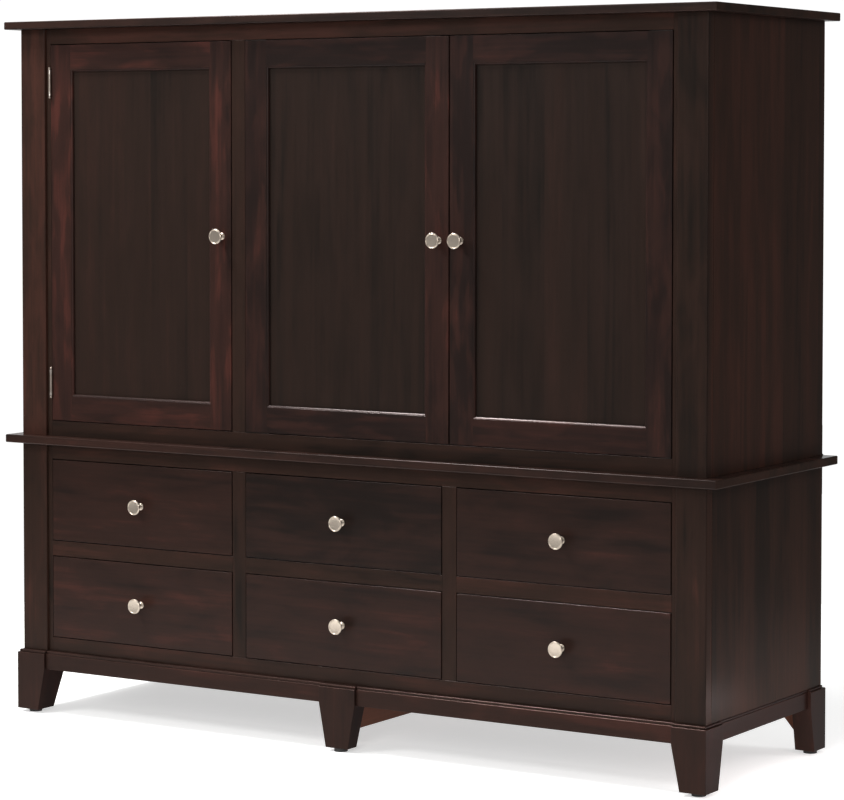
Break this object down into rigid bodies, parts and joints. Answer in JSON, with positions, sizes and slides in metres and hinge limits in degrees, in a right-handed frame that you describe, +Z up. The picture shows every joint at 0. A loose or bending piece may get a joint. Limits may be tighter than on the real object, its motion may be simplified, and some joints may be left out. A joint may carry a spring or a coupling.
{
  "type": "entertainment center",
  "caption": "Free-standing two-part wooden media cabinet: panelled doors above a waist board, inset drawers below, tapered block feet and round metal knobs.",
  "frame": {"origin": "on the floor, under the middle of the object's box", "axes": "+X to the right seen from the front, +Y to the back, +Z up"},
  "size_m": [1.974, 0.636, 1.7215],
  "materials": {
    "stained_wood": "dark espresso stain under satin lacquer",
    "drawer_wood": "clear-finished pale hardwood and ply",
    "raw_wood": "unstained hardwood",
    "satin_nickel": "satin nickel",
    "zinc_steel": "zinc-plated steel",
    "glide_plastic": "matt dark plastic"
  },
  "bodies": {
    "cabinet": {"top_board": "stained_wood", "waist_board": "stained_wood", "upper_corner_posts": "stained_wood", "lower_corner_posts": "stained_wood", "upper_side_panels": "stained_wood", "lower_side_panels": "stained_wood", "upper_face_frame": "stained_wood", "lower_face_frame": "stained_wood", "back_panels": "stained_wood", "partitions": "stained_wood", "floor_boards": "stained_wood", "adjustable_shelves": "stained_wood", "shelf_pins": "zinc_steel", "door_catches": "glide_plastic", "front_feet": "stained_wood", "rear_feet": "stained_wood", "floor_glides": "glide_plastic", "base_aprons": "stained_wood", "base_braces": "raw_wood", "base_moulding": "stained_wood", "hinge_frame_leaves": "satin_nickel", "slide_channels": "zinc_steel", "slide_spacers": "drawer_wood", "rear_tie_plates": "zinc_steel"},
    "door_left": {"door_left_frame": "stained_wood", "door_left_panel": "stained_wood", "door_left_knob": "satin_nickel", "door_left_hinges": "satin_nickel"},
    "door_middle": {"door_middle_frame": "stained_wood", "door_middle_panel": "stained_wood", "door_middle_knob": "satin_nickel", "door_middle_hinges": "satin_nickel"},
    "door_right": {"door_right_frame": "stained_wood", "door_right_panel": "stained_wood", "door_right_knob": "satin_nickel", "door_right_hinges": "satin_nickel"},
    "drawer_upper_left": {"drawer_upper_left_front": "stained_wood", "drawer_upper_left_box": "drawer_wood", "drawer_upper_left_slides": "zinc_steel", "drawer_upper_left_knob": "satin_nickel"},
    "drawer_upper_middle": {"drawer_upper_middle_front": "stained_wood", "drawer_upper_middle_box": "drawer_wood", "drawer_upper_middle_slides": "zinc_steel", "drawer_upper_middle_knob": "satin_nickel"},
    "drawer_upper_right": {"drawer_upper_right_front": "stained_wood", "drawer_upper_right_box": "drawer_wood", "drawer_upper_right_slides": "zinc_steel", "drawer_upper_right_knob": "satin_nickel"},
    "drawer_lower_left": {"drawer_lower_left_front": "stained_wood", "drawer_lower_left_box": "drawer_wood", "drawer_lower_left_slides": "zinc_steel", "drawer_lower_left_knob": "satin_nickel"},
    "drawer_lower_middle": {"drawer_lower_middle_front": "stained_wood", "drawer_lower_middle_box": "drawer_wood", "drawer_lower_middle_slides": "zinc_steel", "drawer_lower_middle_knob": "satin_nickel"},
    "drawer_lower_right": {"drawer_lower_right_front": "stained_wood", "drawer_lower_right_box": "drawer_wood", "drawer_lower_right_slides": "zinc_steel", "drawer_lower_right_knob": "satin_nickel"}
  },
  "joints": [
    {"name": "door_left_hinge", "type": "hinge", "parent": "cabinet", "child": "door_left", "pos_m": [-0.8635, -0.2893, 1.199], "axis": [0, 0, 1], "range_deg": [-165, 0]},
    {"name": "door_middle_hinge", "type": "hinge", "parent": "cabinet", "child": "door_middle", "pos_m": [-0.2697, -0.2817, 1.199], "axis": [0, 0, 1], "range_deg": [-105, 0]},
    {"name": "door_right_hinge", "type": "hinge", "parent": "cabinet", "child": "door_right", "pos_m": [0.8587, -0.2817, 1.199], "axis": [0, 0, 1], "range_deg": [0, 105]},
    {"name": "drawer_upper_left_slide", "type": "slide", "parent": "cabinet", "child": "drawer_upper_left", "axis": [0, -1, 0], "range_m": [0, 0.4]},
    {"name": "drawer_upper_middle_slide", "type": "slide", "parent": "cabinet", "child": "drawer_upper_middle", "axis": [0, -1, 0], "range_m": [0, 0.4]},
    {"name": "drawer_upper_right_slide", "type": "slide", "parent": "cabinet", "child": "drawer_upper_right", "axis": [0, -1, 0], "range_m": [0, 0.4]},
    {"name": "drawer_lower_left_slide", "type": "slide", "parent": "cabinet", "child": "drawer_lower_left", "axis": [0, -1, 0], "range_m": [0, 0.4]},
    {"name": "drawer_lower_middle_slide", "type": "slide", "parent": "cabinet", "child": "drawer_lower_middle", "axis": [0, -1, 0], "range_m": [0, 0.4]},
    {"name": "drawer_lower_right_slide", "type": "slide", "parent": "cabinet", "child": "drawer_lower_right", "axis": [0, -1, 0], "range_m": [0, 0.4]}
  ]
}
